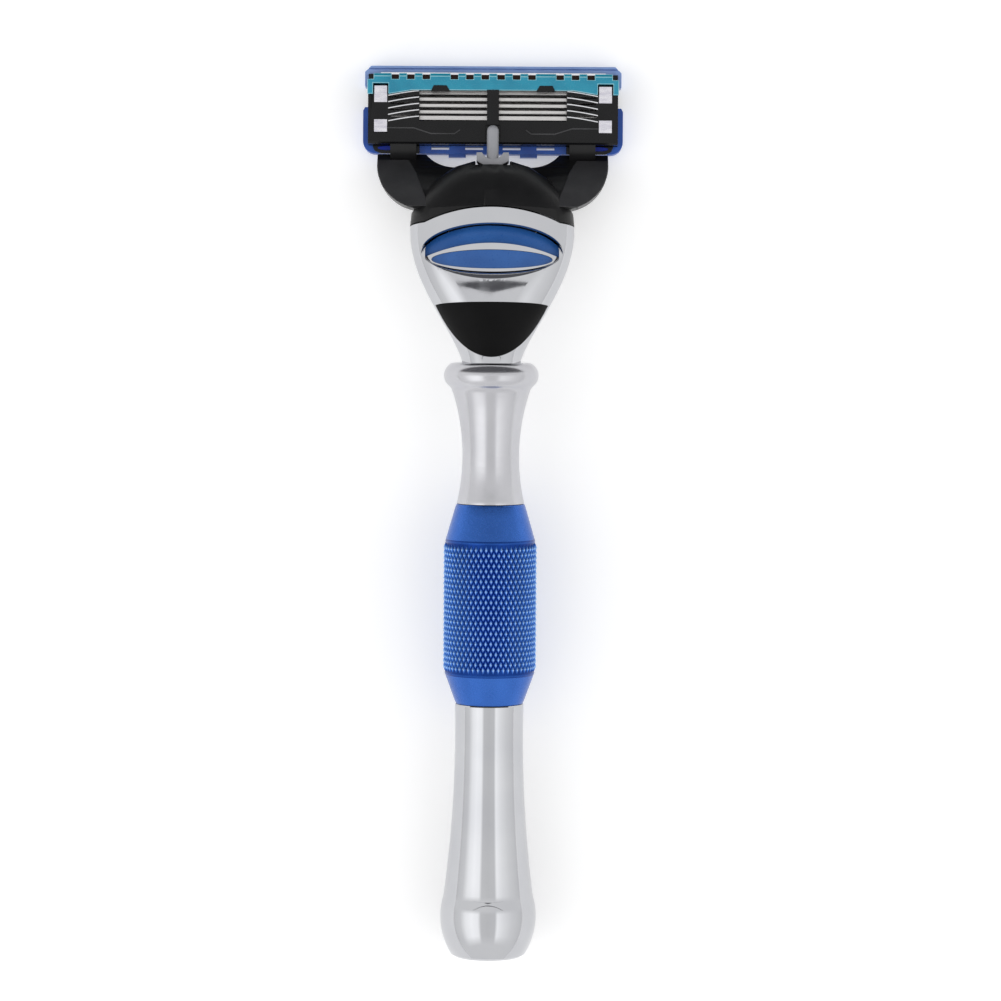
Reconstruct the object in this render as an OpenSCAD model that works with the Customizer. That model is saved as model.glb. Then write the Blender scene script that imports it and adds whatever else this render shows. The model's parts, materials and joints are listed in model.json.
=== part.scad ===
// Cartridge razor with a turned metal handle, lying blades down on a table.
// Units are millimetres. +Z is up, +Y points from the tail to the cartridge.
// The origin is on the table, under the centre of the whole razor.

/* [Handle] */
// Length of the tail piece
tail_length = 40.8; // [38:0.2:43]
// Length of the knurled grip sleeve
sleeve_length = 32.1; // [30:0.1:34]
// Length of the neck piece up to the top of its collar
neck_length = 22.5; // [22.2:0.1:23.4]
// Angle at which the handle rises from the table towards the head
handle_tilt = 3.5; // [3:0.1:4]
// Radius of the flat end of the tail
butt_radius = 5.8; // [5.4:0.1:6.2]
// Largest radius of the tail
bulge_radius = 7.75; // [7.5:0.05:8]
// Smallest radius of the tail
tail_waist_radius = 5.48; // [5.2:0.02:5.6]
// Radius over the crests of the knurl
knurl_radius = 7.5; // [7.2:0.1:7.8]
// Smallest radius of the neck
neck_waist_radius = 4.55; // [4.3:0.05:4.8]
// Radius over the collar bead
collar_radius = 7.58; // [7.2:0.02:7.8]

/* [Head] */
// Distance from the collar to the point where the plunger tip meets the cartridge
plunger_reach = 38.55; // [38.4:0.05:38.8]
// Half the width of the head where it meets the yoke
head_half_width = 13.2; // [13:0.1:13.5]
// Half the depth of the head where it meets the yoke
head_half_depth = 6; // [5.9:0.1:6.4]
// Forward travel of the eject button
button_travel = 3; // [2:0.1:3]

/* [Cartridge] */
// Width of the black cartridge frame
frame_width = 40.4; // [40:0.1:40.6]
// Width over the blue guard
guard_width = 42.2; // [42:0.1:43]
// Distance from one blade to the next
blade_pitch = 1.03; // [1:0.01:1.04]
// Angle between the blades and the shaving face
blade_angle = 22.3; // [20:0.1:24]
// Largest angle the cartridge turns on the yoke
pivot_range = 40; // [30:1:40]

/* [Show] */
// Part to draw, or "all"

/* [Hidden] */
$fn = 96;

// Small gap between pieces that are fixed together
seat_gap = 0.05;
// Gap between pieces that slide past each other
slide_gap = 0.2;

// The tail's rounded end is an arc that passes through the edge of the butt
bulge_at = 6.4;
bulge_rise = bulge_radius - butt_radius;
butt_arc_radius = (bulge_at * bulge_at + bulge_rise * bulge_rise) / (2 * bulge_rise);
// The tail's waist is a long hollow arc
tail_waist_at = 36;
tail_cove_radius = 196;

// Where the handle's axis starts and ends
handle_length = tail_length + sleeve_length + neck_length;
axis_start_z = butt_arc_radius + (bulge_radius - butt_arc_radius) * cos(handle_tilt)
    - bulge_at * sin(handle_tilt);
// Where the plunger's tip meets the cartridge
cam_depth = 4.7;
cam_height = 7.04;
cartridge_depth = 14.6;
total_length = butt_radius * sin(handle_tilt) + handle_length * cos(handle_tilt)
    + plunger_reach - cam_depth + cartridge_depth;
butt_y = butt_radius * sin(handle_tilt) - total_length / 2;
collar_y = butt_y + handle_length * cos(handle_tilt);
collar_z = axis_start_z + handle_length * sin(handle_tilt);
cartridge_y = total_length / 2 - cartridge_depth;
// The head droops so that the plunger points at its cam
head_droop = atan((collar_z - cam_height) / plunger_reach);

// Stations along the head, measured from the collar
shell_front = 22.1;
parting_radius = 30;
parting_apex = 24.1;
parting_gap = 0.25;
shield_start = 0.05;
shield_length = 9;
shield_half_width = 8.95;
core_start = 11.1;
core_wide_end = 27;
core_end = 30.5;
core_half_width = 7;
core_nose_half_width = 5;
core_half_depth = 1.9;
dome_apex = 33.2;
flange_back = 32;
flange_front = 34.3;
// How far the plunger is pushed in when the cartridge has turned all the way
plunger_stroke = 3.9;
tip_end = plunger_reach / cos(head_droop);
stem_radius = 0.95;
rod_radius = 0.75;
spring_radius = 1.05;
spring_wire = 0.15;
guide_front = 22.3;
guide_back = 20;

// The eject button's pocket is an oval in the back of the head
pocket_at = 17.6;
pocket_half_width = 11.3;
pocket_half_length = 3.95;
button_half_width = 11;
button_half_length = 3.7;
button_crown = 4.7;
rim_height = 0.8;
crown_radius = 22;
sled_bottom = 2;
sled_top = 2.5;
sled_half_width = 6;

// The cartridge turns about an axis close to its shaving face
pivot_depth = 2.2;
pivot_height = 2;
shoe_inner = 2.3;
shoe_outer = 3.6;
shoe_gap = 0.08;
shoe_from_x = 12.4;
shoe_to_x = 16.6;
shoe_side_gap = 0.15;

// Heights and depths inside the cartridge
frame_back = 6.2;
frame_front_edge = 1.76;
window_from = 5.5;
window_to = 10.33;
rib_half_width = 0.97;
clip_from_x = 17.1;
clip_width = 2.1;
clip_thickness = 0.3;
blade_half_length = 17.4;
support_thickness = 0.16;
blade_thickness = 0.1;
blade_bend_height = 0.9;
first_blade = 5.9;

// ---- Placing ----

// Local +Z runs along the handle from the butt
module along_handle(start = 0) {
    translate([0, butt_y, axis_start_z])
        rotate([handle_tilt - 90, 0, 0])
            translate([0, 0, start])
                children();
}

// Local +Y runs along the head from the collar, local +Z is the head's back
module at_head() {
    translate([0, collar_y, collar_z])
        rotate([-head_droop, 0, 0])
            children();
}

// Local +Y runs from the guard edge to the cap edge, Z = 0 is the shaving face
module at_cartridge() {
    translate([0, cartridge_y, 0])
        children();
}

// Stands a flat outline, drawn as depth and height, across the razor's width
module across(from_x, to_x) {
    translate([from_x, 0, 0])
        rotate(a = 120, v = [1, 1, 1])
            linear_extrude(height = to_x - from_x)
                children();
}

module both_sides() {
    children();
    mirror([1, 0, 0])
        children();
}

// A round bar along local +Y
module bar(radius, from, to) {
    translate([0, from, 0])
        rotate([-90, 0, 0])
            cylinder(r = radius, h = to - from);
}

// A block given by its half width, then its limits along Y and Z
module block(half_width, from_y, to_y, from_z, to_z) {
    translate([-half_width, from_y, from_z])
        cube([2 * half_width, to_y - from_y, to_z - from_z]);
}

// A wire coil round local +Z
module coil(radius, wire, turns, length) {
    steps = 14;
    sides = 6;
    rings = turns * steps;
    points = [
        for (i = [0 : rings]) for (j = [0 : sides - 1])
            let (around = 360 * i / steps, section = 360 * j / sides)
            let (out = radius + wire * cos(section))
            [out * cos(around), out * sin(around),
             wire + (length - 2 * wire) * i / rings + wire * sin(section)]
    ];
    walls = [
        for (i = [0 : rings - 1]) for (j = [0 : sides - 1])
            let (next = (j + 1) % sides)
            [i * sides + j, i * sides + next, (i + 1) * sides + next, (i + 1) * sides + j]
    ];
    first_cap = [for (j = [0 : sides - 1]) sides - 1 - j];
    last_cap = [for (j = [0 : sides - 1]) rings * sides + j];
    polyhedron(points = points, faces = concat(walls, [first_cap, last_cap]), convexity = 10);
}

// ---- Turned handle ----

module tail_outline() {
    difference() {
        union() {
            intersection() {
                square([bulge_radius + 1, tail_length]);
                translate([bulge_radius - butt_arc_radius, bulge_at])
                    circle(r = butt_arc_radius, $fn = 240);
            }
            translate([0, bulge_at + 3.3])
                square([bulge_radius - 0.2, tail_length - bulge_at - 3.3]);
        }
        translate([tail_waist_radius + tail_cove_radius, tail_waist_at])
            circle(r = tail_cove_radius, $fn = 720);
    }
}

module tail_piece() {
    color([0.86, 0.86, 0.88])
        along_handle()
            difference() {
                rotate_extrude()
                    tail_outline();
                translate([0, 0, tail_length - 15])
                    cylinder(r = 2.55, h = 16);
            }
}

// Threaded rod that pulls tail, sleeve and neck together
module tie_rod() {
    color([0.62, 0.62, 0.64])
        along_handle(tail_length - 14)
            cylinder(r = 2.5, h = sleeve_length + 25);
}

module sleeve_outline() {
    cone_end = 4.9;
    top_cone = sleeve_length - 5.9;
    polygon([
        [2.6, 0], [5.3, 0], [5.45, 0.2], [7.25, cone_end], [knurl_radius, cone_end + 0.3],
        [knurl_radius, top_cone - 0.3], [7.25, top_cone], [5.5, sleeve_length - 0.2],
        [5.35, sleeve_length], [2.6, sleeve_length]
    ]);
}

module grip_sleeve() {
    color([0.13, 0.32, 0.78])
        along_handle(tail_length)
            rotate_extrude()
                sleeve_outline();
}

module neck_outline() {
    bead_round = 2.2;
    bead_at = neck_length - 2;
    difference() {
        union() {
            square([collar_radius - bead_round + 1.1, bead_at]);
            intersection() {
                square([collar_radius + 1, neck_length]);
                translate([collar_radius - bead_round, bead_at])
                    circle(r = bead_round);
            }
            translate([0, bead_at])
                square([collar_radius - bead_round, neck_length - bead_at]);
        }
        difference() {
            translate([neck_waist_radius + 33, 7.6])
                circle(r = 33, $fn = 360);
            translate([0, bead_at - 1.9])
                square([20, 10]);
        }
    }
}

module neck_piece() {
    color([0.82, 0.82, 0.84])
        along_handle(tail_length + sleeve_length)
            difference() {
                rotate_extrude()
                    neck_outline();
                translate([0, 0, -1])
                    cylinder(r = 2.55, h = 12.5);
                translate([0, 0, neck_length - 8])
                    cylinder(r = 2.05, h = 9);
            }
}

// Threaded stud that holds the head on the neck
module head_stud() {
    color([0.62, 0.62, 0.64])
        along_handle(handle_length - 7.5)
            cylinder(r = 2, h = 11);
}

// ---- Head shell ----

module oval_slice(at, half_width, half_depth) {
    translate([0, at, 0])
        rotate([-90, 0, 0])
            linear_extrude(height = 0.02)
                scale([half_width, half_depth])
                    circle(r = 1, $fn = 60);
}

// Flared body of the head, made smaller all round by "inset"
module head_body(inset = 0) {
    width = head_half_width - inset;
    depth = head_half_depth - inset;
    hull() {
        along_handle_from_head()
            cylinder(r = 4.7 - inset, h = 0.02, $fn = 60);
        oval_slice(1.6, width * 0.405, depth * 0.8);
        oval_slice(6.9, width * 0.605, depth * 0.91);
        oval_slice(10.1, width * 0.744, depth * 0.94);
        oval_slice(13.4, width * 0.866, depth * 0.965);
        oval_slice(16.65, width * 0.952, depth * 0.985);
        oval_slice(18.9, width * 0.99, depth * 0.995);
        oval_slice(21.2, width, depth);
        oval_slice(24.3, width * 0.985, depth);
    }
}

// Inside the head's own frame, local +Z along the handle from the collar
module along_handle_from_head() {
    rotate([head_droop, 0, 0])
        rotate([handle_tilt - 90, 0, 0])
            children();
}

// Everything behind the curved parting line, moved forward by "ahead"
module behind_parting(ahead = 0) {
    translate([0, 0, -20])
        linear_extrude(height = 40)
            union() {
                translate([-20, -20])
                    square([40, 20 + shell_front + ahead]);
                translate([0, parting_apex - parting_radius + ahead])
                    circle(r = parting_radius, $fn = 180);
            }
}

// Outline of the soft inlay, a parabola closed by a straight edge towards the button
module shield_outline(grow = 0) {
    half = shield_half_width + grow;
    steps = 16;
    polygon([
        for (i = [-steps : steps])
            [half * i / steps, shield_start - grow + (shield_length + 2 * grow) * pow(i / steps, 2)]
    ]);
}

module shield_block(grow = 0) {
    linear_extrude(height = 10)
        shield_outline(grow);
}

module oval_outline(at, half_width, half_length) {
    translate([0, at])
        scale([half_width, half_length])
            circle(r = 1);
}

// Space under a curved roof that runs along the head
module under_crown(crown, radius) {
    translate([0, 0, crown - radius])
        bar(radius, 5, 40);
}

// Room in which the eject button slides
module button_room(to_y) {
    intersection() {
        translate([0, 0, 1])
            linear_extrude(height = 10)
                union() {
                    oval_outline(pocket_at, pocket_half_width, pocket_half_length);
                    translate([-pocket_half_width, pocket_at])
                        square([2 * pocket_half_width, to_y - pocket_at]);
                }
        under_crown(button_crown + slide_gap, crown_radius + slide_gap);
    }
}

module sled_room(to_y) {
    block(sled_half_width + slide_gap, core_start - 0.1, to_y, sled_bottom - 0.15, sled_top + slide_gap);
}

module head_shell() {
    color([0.85, 0.85, 0.87])
        at_head()
            difference() {
                intersection() {
                    head_body();
                    behind_parting();
                }
                block(core_half_width + seat_gap, core_start - 0.1, 30,
                    -core_half_depth - seat_gap, core_half_depth + seat_gap);
                sled_room(30);
                button_room(30);
                translate([0, 0, 2])
                    linear_extrude(height = 8)
                        oval_outline(pocket_at, pocket_half_width, pocket_half_length);
                difference() {
                    shield_block(seat_gap);
                    head_body(0.7 + seat_gap);
                }
                along_handle_from_head()
                    translate([0, 0, -1])
                        cylinder(r = 2.05, h = 5);
            }
}

module rear_inlay() {
    color([0.08, 0.08, 0.09])
        at_head()
            difference() {
                intersection() {
                    head_body();
                    shield_block();
                }
                head_body(0.7);
            }
}

// ---- Inside the head ----

// Black carrier that fills the head and forms the nose that the yoke slips on
module nose_core() {
    groove_x = 4.6;
    color([0.12, 0.12, 0.13])
        at_head()
            difference() {
                union() {
                    block(core_half_width, core_start, core_wide_end, -core_half_depth, core_half_depth);
                    block(core_nose_half_width, core_start, core_end, -core_half_depth, core_half_depth);
                }
                bar(spring_radius + spring_wire + 0.2, guide_front, core_end + 1);
                bar(rod_radius + 0.06, guide_back - 1, guide_front + 1);
                bar(1.6, 14.4, guide_back);
                block(2.8, flange_back - plunger_stroke - 0.2, core_end + 1, -1.35, 1.35);
                translate([groove_x, 0, 0])
                    block(1, 13.1, 22.4, 0.05, core_half_depth + 1);
            }
}

module flange_outline() {
    difference() {
        intersection() {
            translate([-2.6, flange_back])
                square([5.2, flange_front - flange_back]);
            translate([0, flange_back + 3.9])
                circle(r = 3.9);
        }
        translate([0, flange_back + 3.1])
            circle(r = 1.9);
    }
}

module plunger() {
    color([0.72, 0.73, 0.74])
        at_head()
            union() {
                bar(stem_radius, flange_back + 0.6, tip_end - stem_radius);
                translate([0, tip_end - stem_radius, 0])
                    sphere(r = stem_radius);
                translate([0, 0, -1])
                    linear_extrude(height = 2)
                        flange_outline();
                bar(rod_radius, guide_back - 1, flange_back + 0.7);
                bar(1.15, guide_back - 1.3, guide_back - 0.2);
            }
}

module plunger_spring() {
    color([0.7, 0.7, 0.72])
        at_head()
            translate([0, guide_front + 0.05, 0])
                rotate([-90, 0, 0])
                    coil(spring_radius, spring_wire, 11, flange_back - guide_front - 0.1);
}

// ---- Eject button ----

module button_slab(bottom, crown, half_width, half_length) {
    intersection() {
        translate([0, 0, bottom])
            linear_extrude(height = 10)
                oval_outline(pocket_at, half_width, half_length);
        under_crown(crown, crown_radius);
    }
}

module pad_outline(grow = 0) {
    oval_outline(pocket_at - 1.45, 8.9 + grow, 1.5 + grow);
}

// Blue moulding: a sunk ramp in front and a raised thumb pad behind
module eject_button() {
    color([0.15, 0.33, 0.72])
        at_head()
            difference() {
                union() {
                    button_slab(1.2, button_crown - rim_height, button_half_width, button_half_length);
                    intersection() {
                        button_slab(1.2, button_crown - 0.25, button_half_width, button_half_length);
                        linear_extrude(height = 10)
                            pad_outline();
                    }
                }
                block(core_half_width + slide_gap, 10, 30, 0, core_half_depth + 0.12);
                block(sled_half_width + seat_gap, 10, 30, 0, sled_top + seat_gap);
            }
}

// Bright rim round the thumb pad
module button_rim() {
    color([0.8, 0.8, 0.82])
        at_head()
            difference() {
                intersection() {
                    button_slab(1.2, button_crown, button_half_width, button_half_length);
                    translate([0, -28.5, 0])
                        cylinder(r = 47, h = 10, $fn = 240);
                }
                button_slab(1, button_crown - rim_height + seat_gap, button_half_width + 1, button_half_length + 1);
                linear_extrude(height = 10)
                    pad_outline(seat_gap);
            }
}

// Flat slide under the button that pushes the yoke off the nose
module ejector_sled() {
    color([0.16, 0.16, 0.17])
        at_head()
            union() {
                block(sled_half_width, 13.4, 24, sled_bottom, sled_top);
                translate([4.6, 0, 0])
                    block(0.8, 13.4, 14.2, 0.4, sled_bottom + 0.1);
            }
}

module button_spring() {
    color([0.7, 0.7, 0.72])
        at_head()
            translate([4.6, 14.25, 1.05])
                rotate([-90, 0, 0])
                    coil(0.65, 0.13, 12, 8);
}

// ---- Yoke ----

// The dome that slips over the nose
module yoke_dome() {
    width = head_half_width;
    depth = head_half_depth;
    hull() {
        oval_slice(shell_front + parting_gap, width, depth);
        oval_slice(24.3, width * 0.985, depth);
        oval_slice(27, width * 0.86, depth * 0.945);
        oval_slice(29.8, width * 0.7, depth * 0.777);
        oval_slice(31.9, width * 0.47, depth * 0.52);
        oval_slice(dome_apex - 0.1, width * 0.2, depth * 0.24);
    }
}

// Room in the yoke for the nose, the plunger, the sled and the button
module yoke_sockets() {
    behind_parting(parting_gap);
    block(core_half_width + slide_gap, 15, core_wide_end + 0.25,
        -core_half_depth - slide_gap, core_half_depth + slide_gap);
    block(core_nose_half_width + slide_gap, 15, core_end + 0.25,
        -core_half_depth - slide_gap, core_half_depth + slide_gap);
    block(2.9, 15, 40, -1.4, 1.4);
    sled_room(24 + button_travel + 0.3);
    intersection() {
        button_room(24.7);
        block(10.5, 10, 24.7, 0, 10);
    }
}

// One arm seen from above
module arm_plan() {
    difference() {
        union() {
            translate([10.9, -1.5])
                circle(r = 7.8);
            translate([10.9, -1.5])
                square([7.8, 3]);
        }
        translate([6.1, 4])
            circle(r = 6);
        translate([-10, -2])
            square([16.1, 12]);
    }
}

// One arm seen from the side
module arm_side() {
    polygon([
        [0.3, 3.15], [-1.2, 4.9], [-2.2, 6.2], [-6, 10.2], [-8.8, 12.2],
        [-9.6, 11], [-9.6, 7], [-8, 4.6], [-4, 2.9], [-1.5, 2.4], [-0.3, 2.7]
    ]);
}

// Curved foot of the arm, which runs in a curved slot in the frame
module shoe() {
    translate([shoe_from_x, pivot_depth, pivot_height])
        rotate(a = 120, v = [1, 1, 1])
            rotate([0, 0, 90])
                rotate_extrude(angle = 62)
                    translate([shoe_inner, 0])
                        square([shoe_outer - shoe_inner, shoe_to_x - shoe_from_x]);
}

module yoke() {
    color([0.13, 0.13, 0.14])
        union() {
            difference() {
                union() {
                    at_head()
                        yoke_dome();
                    both_sides()
                        at_cartridge()
                            intersection() {
                                linear_extrude(height = 20)
                                    arm_plan();
                                across(0, 20)
                                    arm_side();
                            }
                }
                at_head()
                    yoke_sockets();
            }
            both_sides()
                at_cartridge()
                    shoe();
        }
}

// ---- Cartridge ----

// The curved slot for a shoe, as far round as the cartridge turns
module shoe_slot() {
    translate([shoe_from_x - shoe_side_gap, pivot_depth, pivot_height])
        rotate(a = 120, v = [1, 1, 1])
            rotate([0, 0, 88 - pivot_range])
                rotate_extrude(angle = 92 + pivot_range)
                    translate([shoe_inner - shoe_gap, 0])
                        square([
                            shoe_outer - shoe_inner + 2 * shoe_gap,
                            shoe_to_x - shoe_from_x + 2 * shoe_side_gap
                        ]);
}

module frame_side() {
    polygon([
        [frame_front_edge, 1.45], [frame_front_edge, 5.9], [frame_front_edge + 0.3, frame_back],
        [11.2, frame_back], [11.2, 4.4], [13.2, 4.4], [13.2, 3.85], [11.15, 3.85], [11.15, 0.4],
        [4.4, 0.4], [4.4, 1.45]
    ]);
}

module cartridge_frame() {
    half = frame_width / 2;
    color([0.1, 0.1, 0.11])
        at_cartridge()
            difference() {
                union() {
                    difference() {
                        across(-half, half)
                            frame_side();
                        block(17.9, 4.3, 10.4, -1, 1.3);
                        block(17.9, 5.4, 10.4, 1, 5.2);
                        both_sides()
                            translate([0, window_from, 0])
                                cube([11.9, window_to - window_from, 10]);
                        both_sides()
                            for (i = [0 : 3])
                                translate([12.3, 6.1 + i * blade_pitch, 4])
                                    cube([4.4, 0.35, 5]);
                    }
                    block(rib_half_width, cam_depth, window_to + 0.1, 4.4, 7.1);
                }
                both_sides()
                    shoe_slot();
                both_sides()
                    translate([clip_from_x - seat_gap, 3.5, -1])
                        cube([clip_width + 2 * seat_gap, 0.5, 10]);
                both_sides()
                    translate([clip_from_x - seat_gap, 10.65, -1])
                        cube([clip_width + 2 * seat_gap, 0.55, 10]);
                block(1.2, 2.4, cam_depth + 0.08, frame_back - 0.15, 10);
            }
}

// Points round part of a circle
function arc(x, y, radius, from, to) =
    [for (i = [0 : 8]) let (a = from + (to - from) * i / 8) [x + radius * cos(a), y + radius * sin(a)]];

// Rounded bar along the guard edge with two wings up the sides
module guard_plan() {
    half = guard_width / 2;
    wing = half - 0.8;
    front = 0.45;
    polygon(concat(
        arc(2 - half, front + 2, 2, 180, 270),
        [[-7.2, front], [-7.2, 0], [-4.4, 0], [-4.4, front]],
        [[4.4, front], [4.4, 0], [7.2, 0], [7.2, front]],
        arc(half - 2, front + 2, 2, -90, 0),
        [[half, 7.4], [half - 0.3, 7.95], [wing, 7.95], [wing, 4.3]],
        [[-wing, 4.3], [-wing, 7.95], [0.3 - half, 7.95], [-half, 7.4]]
    ));
}

module guard() {
    half = guard_width / 2;
    color([0.1, 0.28, 0.72])
        at_cartridge()
            difference() {
                translate([0, 0, 0.35])
                    linear_extrude(height = 2.65)
                        guard_plan();
                block(frame_width / 2 + seat_gap, frame_front_edge - seat_gap, 10, 1.4, 10);
                block(16.6, 1, 4.1, 0, 0.7);
                both_sides()
                    translate([clip_from_x - seat_gap, 3.5, 0])
                        cube([clip_width + 2 * seat_gap, 1, 5]);
                across(-19, 19)
                    polygon([[-0.5, 2.2], [0.02, 2.2], [0.6, 3.1], [-0.5, 3.1]]);
                both_sides()
                    for (from_x = [1.6, 7.1])
                        translate([from_x, 1.1, 0])
                            cube([2.9, 0.5, 5]);
            }
}

// Soft fins that stretch the skin ahead of the blades
module fin_strip() {
    fin_pitch = 0.44;
    color([0.12, 0.3, 0.62])
        at_cartridge()
            union() {
                block(16.5, 1.75, 4.05, 0.3, 0.65);
                for (i = [0 : 4])
                    translate([0, 1.8 + i * fin_pitch, 0])
                        block(16.5, 0, 0.2, 0, 0.35);
            }
}

// Local frame of one blade: +X towards its edge, -Y towards the skin
module blade_frame(index) {
    translate([first_blade + index * blade_pitch, blade_bend_height])
        rotate(180 + blade_angle)
            mirror([0, 1, 0])
                children();
}

// Bent steel strip that carries a blade
module blade_support(index) {
    half = support_thickness / 2;
    leg = 4.2 - blade_bend_height;
    reach = 1.1;
    mitre = half * (1 - sin(blade_angle)) / cos(blade_angle);
    edge_x = -reach * cos(blade_angle);
    edge_y = -reach * sin(blade_angle);
    color([0.66, 0.67, 0.69])
        at_cartridge()
            across(-blade_half_length, blade_half_length)
                translate([first_blade + index * blade_pitch, blade_bend_height])
                    polygon([
                        [-half, leg], [-half, mitre],
                        [edge_x - half * sin(blade_angle), edge_y + half * cos(blade_angle)],
                        [edge_x + half * sin(blade_angle), edge_y - half * cos(blade_angle)],
                        [half, -mitre], [half, leg]
                    ]);
}

// Ground blade welded on the skin side of its support
module blade_edge(index) {
    near = -support_thickness / 2 - 0.005;
    far = near - blade_thickness;
    color([0.88, 0.89, 0.9])
        at_cartridge()
            across(-blade_half_length, blade_half_length)
                blade_frame(index)
                    polygon([[0.2, near], [1.2, near], [1.4, (near + far) / 2], [1.2, far], [0.2, far]]);
}

// Bent metal band that holds the blades down at one end
module clip() {
    t = clip_thickness;
    top = frame_back + 0.02;
    color([0.88, 0.88, 0.9])
        at_cartridge()
            across(clip_from_x, clip_from_x + clip_width)
                polygon([
                    [3.6, 0.05], [11.1, 0.05], [11.1, top + t], [8.4, top + t], [8.4, top],
                    [11.1 - t, top], [11.1 - t, 0.05 + t], [3.6 + t, 0.05 + t], [3.6 + t, top],
                    [5.65, top], [5.65, top + t], [3.6, top + t]
                ]);
}

module clip_right() {
    clip();
}

module clip_left() {
    mirror([1, 0, 0])
        clip();
}

// Pale blue holder that wraps the cap edge
module strip_carrier() {
    half = guard_width / 2 - 0.3;
    color([0.55, 0.72, 0.88])
        at_cartridge()
            difference() {
                translate([0, 0, 0.3])
                    linear_extrude(height = 3.5)
                        polygon([
                            [-half, 11.2], [half, 11.2], [half, 13.6], [half - 1, cartridge_depth],
                            [1 - half, cartridge_depth], [-half, 13.6]
                        ]);
                across(-30, 30)
                    polygon([[14.8, 0], [13.9, 0], [14.8, 0.9]]);
                block(17.2, 11.5, 13.7, -1, 0.95);
            }
}

module lubricating_strip() {
    color([0.75, 0.88, 0.9])
        at_cartridge()
            block(17.1, 11.55, 13.65, 0, 0.9);
}

module trimmer_blade() {
    color([0.86, 0.87, 0.88])
        at_cartridge()
            translate([0, 0, 4.42])
                linear_extrude(height = 0.14)
                    polygon([[-17.4, 11.3], [17.4, 11.3], [18.2, 12.4], [18.2, 13.45], [-18.2, 13.45], [-18.2, 12.4]]);
}

module comb_plan() {
    notch_width = 1.2;
    difference() {
        polygon([
            [-20.3, 9.7], [-16.9, 9.7], [-13, 10.35], [13, 10.35], [16.9, 9.7], [20.3, 9.7],
            [20.3, 12.9], [19.4, 13.1], [-19.4, 13.1], [-20.3, 12.9]
        ]);
        both_sides()
            for (at = [1.27, 3.76, 6.26, 10.8, 13.3, 15.8])
                translate([at - notch_width / 2, 12.1])
                    square([notch_width, 2]);
        both_sides()
            translate([clip_from_x - 0.2, 9])
                square([clip_width + 0.4, 2.45]);
        both_sides()
            translate([19.3, 12.1])
                square([2, 2]);
    }
}

// Teal comb over the trimmer blade on the back of the cartridge
module trimmer_comb() {
    color([0.12, 0.62, 0.72])
        at_cartridge()
            intersection() {
                translate([0, 0, 4])
                    linear_extrude(height = 4)
                        comb_plan();
                across(-21, 21)
                    polygon([
                        [9, frame_back + 0.05], [11.25, frame_back + 0.05], [11.25, 4.6],
                        [13.5, 4.6], [13.5, 6.3], [12.6, 7], [9, 7]
                    ]);
            }
}

// ---- Assembly ----

tail_piece();
tie_rod();
grip_sleeve();
neck_piece();
head_stud();
head_shell();
rear_inlay();
nose_core();
plunger();
plunger_spring();
eject_button();
button_rim();
ejector_sled();
button_spring();
yoke();
cartridge_frame();
guard();
fin_strip();
blade_support(0);  // blade_support_1
blade_support(1);  // blade_support_2
blade_support(2);  // blade_support_3
blade_support(3);  // blade_support_4
blade_support(4);  // blade_support_5
blade_edge(0);  // blade_edge_1
blade_edge(1);  // blade_edge_2
blade_edge(2);  // blade_edge_3
blade_edge(3);  // blade_edge_4
blade_edge(4);  // blade_edge_5
clip_left();
clip_right();
strip_carrier();
lubricating_strip();
trimmer_blade();
trimmer_comb();
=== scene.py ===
import json
from math import asin, atan2, cos, pi, radians, sin, sqrt

import bmesh
import bpy
from mathutils import Matrix, Vector


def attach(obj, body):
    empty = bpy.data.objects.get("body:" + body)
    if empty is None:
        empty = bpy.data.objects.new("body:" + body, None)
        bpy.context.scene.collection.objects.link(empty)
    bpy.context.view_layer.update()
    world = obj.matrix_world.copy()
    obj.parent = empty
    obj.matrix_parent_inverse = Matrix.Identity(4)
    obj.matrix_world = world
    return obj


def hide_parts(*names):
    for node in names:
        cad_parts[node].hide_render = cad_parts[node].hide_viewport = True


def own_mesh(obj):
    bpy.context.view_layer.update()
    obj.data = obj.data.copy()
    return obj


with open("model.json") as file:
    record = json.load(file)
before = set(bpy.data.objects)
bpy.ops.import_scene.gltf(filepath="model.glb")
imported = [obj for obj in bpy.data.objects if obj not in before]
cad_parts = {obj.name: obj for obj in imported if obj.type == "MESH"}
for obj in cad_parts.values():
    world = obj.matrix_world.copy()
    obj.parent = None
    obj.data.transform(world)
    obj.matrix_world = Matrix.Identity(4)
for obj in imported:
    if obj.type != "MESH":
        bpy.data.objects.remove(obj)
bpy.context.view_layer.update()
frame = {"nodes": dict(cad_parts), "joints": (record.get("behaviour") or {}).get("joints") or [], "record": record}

MM = 0.001


# ---- Where things are: shapes are drawn in millimetres and placed by these ----

def mount_named(name):
    return next(m for m in frame["record"]["mounts"] if m["name"] == name)


def joint_named(name):
    return next(j for j in frame["joints"] if j["name"] == name)


TAIL_LENGTH = 40.8
SLEEVE_LENGTH = 32.1
NECK_LENGTH = 22.5
HANDLE_LENGTH = TAIL_LENGTH + SLEEVE_LENGTH + NECK_LENGTH
PIVOT_DEPTH = 2.2
ACROSS = Vector((1, 0, 0))
butt_centre = Vector(mount_named("butt_face")["pos_m"])
along_handle = -Vector(mount_named("butt_face")["axis"]).normalized()
along_head = Vector(joint_named("cartridge_release")["axis"]).normalized()
pivot_point = Vector(joint_named("cartridge_pivot")["pos_m"])
collar_point = butt_centre + along_handle * HANDLE_LENGTH * MM


def placing(origin, second, third):
    """Puts a drawing in millimetres, with these second and third axes, into the razor's own frame."""
    turn = Matrix((ACROSS, second, third)).transposed().to_4x4()
    return Matrix.Translation(origin) @ turn @ Matrix.Scale(MM, 4)


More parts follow.
